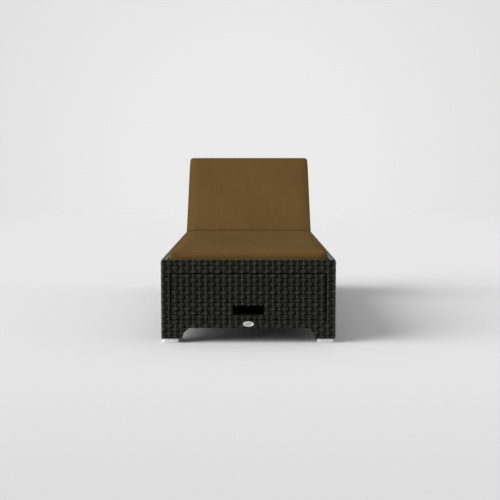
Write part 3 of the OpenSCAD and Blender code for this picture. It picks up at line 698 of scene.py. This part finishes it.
# Rows below the lower edge, the slot's two edges and the upper edge, and the heights of these
FRONT_ROWS = [0, 2, 7, 22]
FRONT_Z = [FRONT_LOW, 0.1225, 0.167, FRONT_TOP]
front_v, front_line = section((FRONT_EDGE, FRONT_LOW), [(FRONT_EDGE, 180),
                                                        (FRONT_TOP - FRONT_LOW, 90),
                                                        (FRONT_EDGE, 0)], FRONT_R)
front = wrapped(front_line, half_w=FRONT_X, half_l=0.5, r=FRONT_R, mid_y=0.5 - HALF_L)
start_v = FRONT_EDGE - 2 * FRONT_R + FRONT_R * np.pi / 2
front_rows = start_v + np.interp(np.arange(22) + 0.5, FRONT_ROWS, FRONT_Z) - FRONT_LOW
front_number = PANEL_ROW + 1 + np.arange(22)
reach = FRONT_X + FRONT_SIDE
drawer_strands = Weave("drawer_front_strands")
whole, beside = np.r_[0:2, 7:22], np.arange(2, 7)
s = spread(-reach, reach, samples=156, count=len(whole))
drawer_strands.add(weft(front, s, front_rows[whole], front_number[whole]), s)
edge_rows = np.array([0.006, front_v - 0.006])
drawer_strands.add(weft(front, s[:2], edge_rows, np.array([PANEL_ROW, RAIL_ROW])), s[:2])
for sign in (-1, 1):
    s = sign * spread(SLOT_X, reach, samples=62, count=len(beside))
    drawer_strands.add(weft(front, s, front_rows[beside], front_number[beside]), s)
# Stakes are counted from the middle. They begin and end 2 mm inside the section line, and those
# at the slot stop 17 mm over the lower edge and go on at 60 mm
from_middle = np.arange(-12, 13)
cut = np.abs(from_middle * PITCH) < SLOT_X
first, last = 0.002, front_v - 0.002
for lo, hi, which in ((first, last, ~cut), (first, start_v + 0.017, cut),
                      (start_v + 0.060, last, cut)):
    k = from_middle[which]
    v = spread(lo, hi, samples=53, count=len(k))
    row = PANEL_ROW + 1 + np.interp(v - start_v + FRONT_LOW, FRONT_Z, FRONT_ROWS)
    drawer_strands.add(warp(front, k * PITCH, v, by_turns(k), row), v)
# Thin plate behind the weave of its lower edge
s = np.linspace(0.003 - FRONT_X, FRONT_X - 0.003, 40)
foot_end = flat((0, -HALF_L, 0), (1, 0, 0), (0, 0, 1), (0, -1, 0))
drawer_strands.add(plate(foot_end, s[:, None], [0.1013, 0.122], LIP_DEPTH), s[None])
drawer_strands.make("drawer", "drawer_weave")


# Backrest deck, woven across the back with a flat binding on its edges

def on_back(x, along, over):
    """Point on the lifted back: along it from the pivot and over it, turned by the recline."""
    return np.stack(np.broadcast_arrays(
        x, PIVOT_Y + along * np.cos(RECLINE) - over * np.sin(RECLINE),
        PIVOT_Z + along * np.sin(RECLINE) + over * np.cos(RECLINE)), -1)


DECK_X, DECK_FROM, DECK_TO, DECK_OVER = 0.329, 0.0105, 0.6083, 0.0375
DECK_ROWS, DECK_ROWS_IN = 68, 0.006
BINDING_W, BINDING_T, BINDING_IN = 0.010, 0.0056, 0.005


def deck_place(s, v, n):
    """Places (s, v, n) on the deck: s across the back, v up it and n over it."""
    return on_back(s, v, DECK_OVER + n)


def binding(line, edges, across):
    """Two flat strands with no swing, across the back or up it. line is the length along them and
    edges holds the middles of both."""
    run, wide = line[:, :, None], np.reshape(edges, (2, 1, 1)) + BINDING_W * RING_ACROSS
    s, v = (run, wide) if across else (wide, run)
    return deck_place(s, v, BINDING_T * RING_OUT - 0.003), 0.9


back_deck = Weave("back_deck_weave")
v = rows(DECK_FROM + DECK_ROWS_IN, DECK_TO - DECK_ROWS_IN, DECK_ROWS)
s = spread(0.004 - DECK_X, DECK_X - 0.004, samples=146, count=DECK_ROWS)
back_deck.add(weft(deck_place, s, v, np.arange(DECK_ROWS)), s)
v = spread(DECK_FROM + 0.003, DECK_TO - 0.003, samples=137, count=len(from_middle))
row = (v - DECK_FROM - DECK_ROWS_IN) / (DECK_TO - DECK_FROM - 2 * DECK_ROWS_IN) * DECK_ROWS
back_deck.add(warp(deck_place, from_middle * PITCH, v, by_turns(from_middle), row), v)
wide, tall = (-DECK_X, DECK_X), (DECK_FROM, DECK_TO)
for run, (near, far), across in ((wide, tall, True), (tall, wide, False)):
    line = spread(*run, samples=30, count=2)
    back_deck.add(binding(line, [near + BINDING_IN, far - BINDING_IN], across), line)
back_deck.make("backrest", "back_deck")


# Feet and badge

def turned(rings, heights, centre, axes):
    """Points and quads of a closed piece made of rings: each ring is (points, 2) in the plane of
    the first two axes, at its height on the third."""
    centre, axes = np.array(centre, float), np.array(axes, float)
    points = (centre + rings[..., :1] * axes[0] + rings[..., 1:] * axes[1]
              + heights[:, None, None] * axes[2])
    quads = tube_quads(1, *points.shape[:2], first=0)
    points = points.reshape(-1, 3)
    return points, outward(points, quads)


def round_square(width, r, steps=6):
    """Square outline with round corners, as points."""
    quarter = np.linspace(0, np.pi / 2, steps)
    a = (quarter + np.arange(4)[:, None] * np.pi / 2).ravel()
    corner = np.repeat(np.array([[1, 1], [-1, 1], [-1, -1], [1, -1]]), steps, 0)
    points = corner * (width / 2 - r) + r * np.stack([np.cos(a), np.sin(a)], -1)
    return np.roll(points, -steps // 2, 0)


def gather(name, made, material, body, stood_for):
    """One object out of several lists of points and quads."""
    base = np.cumsum([0] + [len(p) for p, _ in made])
    obj = mesh_piece(name, np.concatenate([p for p, _ in made]),
                     np.concatenate([q + b for (_, q), b in zip(made, base)]))
    obj.data.materials.append(material)
    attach(obj, body)
    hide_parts(stood_for)


# A foot's side is straight, with a round edge at its top and bottom, and its ends are flat
FOOT_EDGE, FOOT_R, FOOT_INNER = 0.0016, 0.006, 0.012
bevel = np.linspace(0, np.pi / 2, 4)
lower_edge, upper_edge = FOOT_EDGE * (1 - np.sin(bevel)), FOOT_EDGE * (1 - np.cos(bevel))
foot_in = np.concatenate([[FOOT_INNER], lower_edge, upper_edge, [FOOT_INNER]])
foot_z = np.concatenate([[0.0], upper_edge, FOOT_H - lower_edge, [FOOT_H]])
foot_rings = np.stack([round_square(FOOT_W - 2 * i, max(FOOT_R - i, 0.001)) for i in foot_in])
feet = [turned(foot_rings, foot_z, (sx * FOOT_X, sy * FOOT_Y, 0), np.eye(3))
        for sx in (-1, 1) for sy in (-1, 1)]
gather("feet_metal", feet, foot_metal, "base", "feet")

# The badge is a bare oval: a broad rounded rim, a step down and a slightly domed middle
turn = (np.arange(64) + 0.5) * 2 * np.pi / 64
oval = np.stack([np.cos(turn), np.sin(turn)], -1)
badge_in = np.array([0, 0, 0.0002, 0.0006, 0.0014, 0.0024, 0.0034, 0.0041, 0.0045, 0.0049, 0.006,
                     0.008, 0.0112])
badge_z = np.array([0, 0.0022, 0.0028, 0.0031, 0.0034, 0.0035, 0.0034, 0.0031, 0.0025, 0.0021,
                    0.00205, 0.0021, 0.0022])
badge_rings = np.stack([oval * np.array([BADGE_HALF_W - i, BADGE_HALF_H - i]) for i in badge_in])
badge = turned(badge_rings, badge_z, (0, -HALF_L, BADGE_Z), [(1, 0, 0), (0, 0, 1), (0, -1, 0)])
gather("badge_oval", [badge], badge_metal, "base", "badge")


# Pad

PAD_X, PAD_LOW, PAD_TOP, PAD_R = 0.3455, 0.0385, 0.1105, 0.015
PAD_FROM, PAD_TO = -1.3500, 0.6125
# Quads across the pad's faces, down its sides and round its edges
PAD_ACROSS, PAD_DOWN, PAD_ROUND = 34, 6, 4
HALF_RECLINE = RECLINE / 2
# Reach of the fold and of the let-down edges, the sewn notch's depth and width, and the swell's
# height, place and width. Underneath, the pad is lifted off the crease
FOLD_REACH, CROWN_REACH = 0.125, 0.090
NOTCH, NOTCH_W, SWELL, SWELL_AT, SWELL_W, LIFT = 0.013, 0.014, 0.0015, 0.060, 0.035, 0.0035


def raised(n):
    """Share of the pad's thickness at height n, 0 underneath and 1 on top."""
    return np.clip((n - PAD_LOW) / (PAD_TOP - PAD_LOW), 0, 1)


def crowned(x, u, n):
    """Height n on the flat pad with the top let down towards its edges: by the square of how far
    the point is into the last 90 mm, times 1 mm before a side and 10 mm before the foot end."""
    side = np.clip(1 - (PAD_X - np.abs(x)) / CROWN_REACH, 0, 1) ** 2
    end = np.clip(1 - (u - PAD_FROM) / CROWN_REACH, 0, 1) ** 2
    return n - raised(n) * np.maximum(0.001 * side, 0.010 * end)


def folded(x, u, n):
    """The flat pad laid on the seat and the back. u runs along it with the pivot at 0, n is the
    height over the pivot. Near the crease each point is pressed along the pad by n times the
    tangent of half the recline times (1 - |u| / reach) squared, so that both halves meet on the
    plane that halves the angle. The sewn notch goes down by the exponential of minus
    (|u| / width) to the power 1.5, and the swell on either side goes up by that of minus the
    square. Past the crease the pad is turned by the recline."""
    near = np.clip(1 - np.abs(u) / FOLD_REACH, 0, 1)
    rise = raised(n)
    n = n - NOTCH * rise ** 2 * np.exp(-(np.abs(u) / NOTCH_W) ** 1.5)
    n = n + SWELL * rise * np.exp(-((np.abs(u) - SWELL_AT) / SWELL_W) ** 2)
    n = n + LIFT * (1 - rise) * near
    along = u + np.where(u < 0, -1, 1) * n * np.tan(HALF_RECLINE) * near ** 2
    seat = np.stack([x, PIVOT_Y + along, PIVOT_Z + n], -1)
    back = on_back(x, along, n)
    return np.where((u < 0)[..., None], seat, back)


def pad_ring(inset):
    """Cross-section of the pad, pulled in by inset: a flat rectangle with round corners. The
    corner's radius shrinks with the inset but keeps 2 mm."""
    half_x, half_n = PAD_X - inset, (PAD_TOP - PAD_LOW) / 2 - inset
    r = min(max(PAD_R - inset, 0.002), half_n * 0.9)
    a = np.linspace(0, np.pi / 2, PAD_ROUND + 1)
    ix, iz = half_x - r, half_n - r
    arcs = [np.stack([c[0] * ix + r * np.cos(a + t), c[1] * iz + r * np.sin(a + t)], -1)
            for c, t in (((1, 1), 0), ((-1, 1), np.pi / 2), ((-1, -1), np.pi),
                         ((1, -1), -np.pi / 2))]
    lines = []
    for k, (first, count) in enumerate(zip(arcs, (PAD_ACROSS, PAD_DOWN) * 2)):
        after = arcs[(k + 1) % 4][0]
        t = np.linspace(0, 1, count + 1)[1:-1, None]
        lines.append(np.concatenate([first, first[-1] + (after - first[-1]) * t]))
    return np.concatenate(lines)


def corner_pull(x, stations):
    """Rounds the pad's corners in plan: within r of an end the sides come in along a circle."""
    r_foot, r_head = 0.012, 0.026
    pull = 0
    for r, far in ((r_foot, stations - PAD_FROM), (r_head, PAD_TO - stations)):
        d = np.clip(r - far, 0, r)
        pull = pull + r - np.sqrt(np.maximum(r ** 2 - d ** 2, 0))
    return x * (PAD_X - pull[:, None]) / PAD_X


def pad_mesh():
    """Flat pad: rings along its length, pulled in at both ends along a quarter circle and then
    over the end face, whose last ring is closed by a strip. Returns its points (rings, points
    round it, 3) and its quads."""
    turn = np.linspace(0, np.pi / 2, 5)
    end_in = np.concatenate([[0.034, 0.028, 0.021], PAD_R * (1 - np.sin(turn))])
    end_u = np.concatenate([[0, 0, 0], PAD_R * (1 - np.cos(turn))])
    body = np.linspace(PAD_FROM + PAD_R, PAD_TO - PAD_R, 156)[1:-1]
    insets = np.concatenate([end_in, np.zeros(len(body)), end_in[::-1]])
    stations = np.concatenate([PAD_FROM + end_u, body, PAD_TO - end_u[::-1]])
    rings = np.stack([pad_ring(i) for i in insets])
    plan = corner_pull(rings[..., 0], stations)
    points = np.stack([plan, np.broadcast_to(stations[:, None], plan.shape),
                       (PAD_LOW + PAD_TOP) / 2 + rings[..., 1]], -1)
    quads = tube_quads(1, *plan.shape, first=2)
    return points, outward(points.reshape(-1, 3), quads)


def inflate(points, quads, pinned):
    """Cloth under pressure over 20 frames, with the pinned points held. Every point's way is
    capped at 2.5 mm, and at 2 mm sideways."""
    most, most_sideways = 0.0025, 0.002
    obj = mesh_piece("pad_cloth_run", points, quads)
    group = obj.vertex_groups.new(name="held")
    group.add([int(i) for i in np.flatnonzero(pinned)], 1.0, "REPLACE")
    modifier = obj.modifiers.new("Cloth", "CLOTH")
    settings = modifier.settings
    settings.vertex_group_mass = "held"
    settings.use_pressure = True
    settings.uniform_pressure_force = 4.0
    settings.effector_weights.gravity = 0.0
    settings.quality = 5
    settings.mass = 0.3
    settings.tension_stiffness = settings.compression_stiffness = 12.0
    settings.bending_stiffness = 0.6
    modifier.point_cache.frame_start, modifier.point_cache.frame_end = 1, 20
    scene = bpy.context.scene
    for k in range(1, 21):
        scene.frame_set(k)
    solved = obj.evaluated_get(bpy.context.evaluated_depsgraph_get())
    moved = np.zeros(len(points) * 3, np.float32)
    solved.data.vertices.foreach_get("co", moved)
    way = moved.reshape(-1, 3) - points
    scene.frame_set(1)
    bpy.data.objects.remove(obj, do_unlink=True)
    length = np.linalg.norm(way, axis=1, keepdims=True)
    way = way * np.minimum(1, most / np.maximum(length, 1e-9))
    return points + np.clip(way, (-most_sideways, -1, -1), (most_sideways, 1, 1))


points, quads = pad_mesh()
held = np.zeros(points.shape[:2], bool)
points = points.reshape(-1, 3)
points[:, 2] = crowned(*points.T)
# Seams: the middle of each edge's arc, and at both ends the ring half way round the end's arc
arc_mid = PAD_ROUND // 2 + np.cumsum([0, PAD_ROUND + PAD_ACROSS, PAD_ROUND + PAD_DOWN,
                                      PAD_ROUND + PAD_ACROSS])
held[5:-5, arc_mid] = True
held[[5, -6]] = True
held = held.ravel() | (points[:, 2] < PAD_LOW + 0.004)
points = inflate(points, quads, held)
pad_uv = np.stack([points[:, 0] + points[:, 2] * np.sign(points[:, 0]), points[:, 1]], -1)[quads]
pad = mesh_piece("folding_pad", points, quads, pad_uv)
smooth = pad.modifiers.new("Smooth", "SUBSURF")
smooth.levels = smooth.render_levels = 1
solved = pad.evaluated_get(bpy.context.evaluated_depsgraph_get())
fine = bpy.data.meshes.new_from_object(solved)
pad.modifiers.clear()
pad.data = fine
co = np.zeros(len(fine.vertices) * 3, np.float32)
fine.vertices.foreach_get("co", co)
put(fine.vertices, "co", folded(*co.reshape(-1, 3).T))
fine.update()
fine.materials.clear()
fine.materials.append(cloth)
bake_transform(pad)
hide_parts("seat_cushion", "back_cushion")


def piping(name, level):
    """Round cord of 5 mm in its cloth sleeve, sewn on at that level: six-sided rings along a
    rectangle with round corners just inside the pad's outline, folded with the pad."""
    r, inset, radius = 0.0026, 0.0035, 0.016
    half_u = (PAD_TO - PAD_FROM) / 2 - inset
    mid_u = (PAD_TO + PAD_FROM) / 2
    total = 4 * (PAD_X - inset - radius + half_u - radius + radius * np.pi / 2)
    s = np.linspace(0, total, 840, endpoint=False)
    line = {"half_w": PAD_X - inset, "half_l": half_u, "r": radius}
    x, y = around(s, 0.0, **line)
    outer_x, outer_y = around(s, -0.001, **line)
    a = np.arange(6) * np.pi / 3
    px = x[:, None] + r * np.cos(a) * ((outer_x - x) / 0.001)[:, None]
    pu = y[:, None] + mid_u + r * np.cos(a) * ((outer_y - y) / 0.001)[:, None]
    pn = crowned(x, y + mid_u, level + 0 * x)[:, None] + r * np.sin(a)
    points = folded(px, pu, pn).reshape(-1, 3)
    quads = outward(points, tube_quads(1, len(s), 6, True))
    uv = np.stack(np.broadcast_arrays(s[:, None], a * r), -1).reshape(-1, 2)[quads]
    obj = mesh_piece(name, points, quads, uv)
    obj.data.materials.append(cloth)
    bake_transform(obj)


piping("pad_piping_top", PAD_TOP - 0.0065)
piping("pad_piping_low", PAD_LOW + 0.0045)


# Floor, light and camera

def stage_floor():
    """Large flat floor, a little darker towards the camera and a little lighter past the head
    end, where the photo's wall begins."""
    far, low = 14.0, -0.0002
    obj = mesh_piece("studio_floor", np.array([[-far, -far, low], [far, -far, low],
                                               [far, far, low], [-far, far, low]]),
                     np.array([[0, 1, 2, 3]]))
    made, tree, main = shader("floor_paint", (0.78, 0.78, 0.78), 1.0, gloss=0.0)
    coords = node(tree, "TexCoord", {})["Object"]
    depth = node(tree, "MapRange", {"Value": node(tree, "SeparateXYZ", {"Vector": coords})["Y"],
                                    "From Min": -3.2, "From Max": 1.16})["Result"]
    # Painted shade: the floor is painted darker towards the camera, a painted falloff of the
    # light; past the head end it turns lighter, where the wall begins
    feed(main, {"Base Color": ramp(depth, 0.73, 0.81, (0, 1),
                                   [(0.344, 0.79), (0.975, 0.79)])})
    # Towards its edge it gives way to the wall's own colour
    fade = node(tree, "MapRange", {
        "Value": node(tree, "VectorMath", {0: coords}, operation="LENGTH")["Value"],
        "From Min": 5.0, "From Max": 13.5}, interpolation_type="SMOOTHSTEP")["Result"]
    both = node(tree, "MixShader", {0: fade, 1: main.outputs["BSDF"],
                                    2: node(tree, "BsdfTransparent", {})["BSDF"]})
    feed(tree.nodes["Material Output"], {"Surface": both["Shader"]})
    obj.data.materials.append(made)


def broad_light(name, towards, width, strength):
    """Even light from one side, as from a very large softbox: it travels along towards and
    comes from a disc that is width degrees across."""
    lamp = bpy.data.lights.new(name, "SUN")
    lamp.angle, lamp.energy = np.radians(width), strength
    obj = bpy.data.objects.new(name, lamp)
    bpy.context.collection.objects.link(obj)
    obj.rotation_mode = "QUATERNION"
    obj.rotation_quaternion = Vector(towards).to_track_quat("-Z", "Y")


def sky():
    """Even white light, and a pale wall where the camera, a gloss or glass sees it, which darkens
    towards the photographer's side of the room."""
    world = bpy.data.worlds.new("studio")
    bpy.context.scene.world = world
    world.use_nodes = True
    tree = world.node_tree
    tree.nodes.clear()
    towards = node(tree, "TexCoord", {})["Generated"]
    path = node(tree, "LightPath", {})
    light = node(tree, "Background", {"Color": (1, 1, 1, 1), "Strength": 0.53})
    front = node(tree, "MapRange", {"Value": node(tree, "SeparateXYZ", {"Vector": towards})["Y"],
                                    "From Min": -0.9, "From Max": 0.3})["Result"]
    seen = node(tree, "Background", {"Color": ramp(front, 0.12, 0.80, (0, 1))})
    # Painted light: the wall seen by the camera is painted brightest straight ahead and darker
    # away from it, a little lighter again far out, a painted falloff of the studio light
    off_middle = node(tree, "VectorMath", {0: towards, 1: (0, 1, 0)}, operation="DISTANCE")
    wall = node(tree, "Background", {"Color": ramp(off_middle["Value"], 0.83, 0.735,
                                                   (0.09, 0.31), [(0.55, 0.785)])})
    mirrored = node(tree, "Math", {0: path["Is Transmission Ray"], 1: path["Is Glossy Ray"]},
                    operation="ADD", use_clamp=True)
    unseen = node(tree, "MixShader", {0: mirrored[0], 1: light[0], 2: seen[0]})
    whole = node(tree, "MixShader", {0: path["Is Camera Ray"], 1: unseen[0], 2: wall[0]})
    node(tree, "OutputWorld", {"Surface": whole[0]})


stage_floor()
sky()
broad_light("key_light", towards=(0.845, 0.307, -0.438), width=52, strength=3.35)

lens = bpy.data.cameras.new("camera")
lens.lens, lens.sensor_width = 77.2, 36.0
camera = bpy.data.objects.new("camera", lens)
bpy.context.collection.objects.link(camera)
camera.location = (0.007, -5.645, 0.786)
camera.rotation_euler = (np.radians(85.31), 0, 0)
bpy.context.scene.camera = camera
bpy.context.scene.view_settings.view_transform = "Standard"
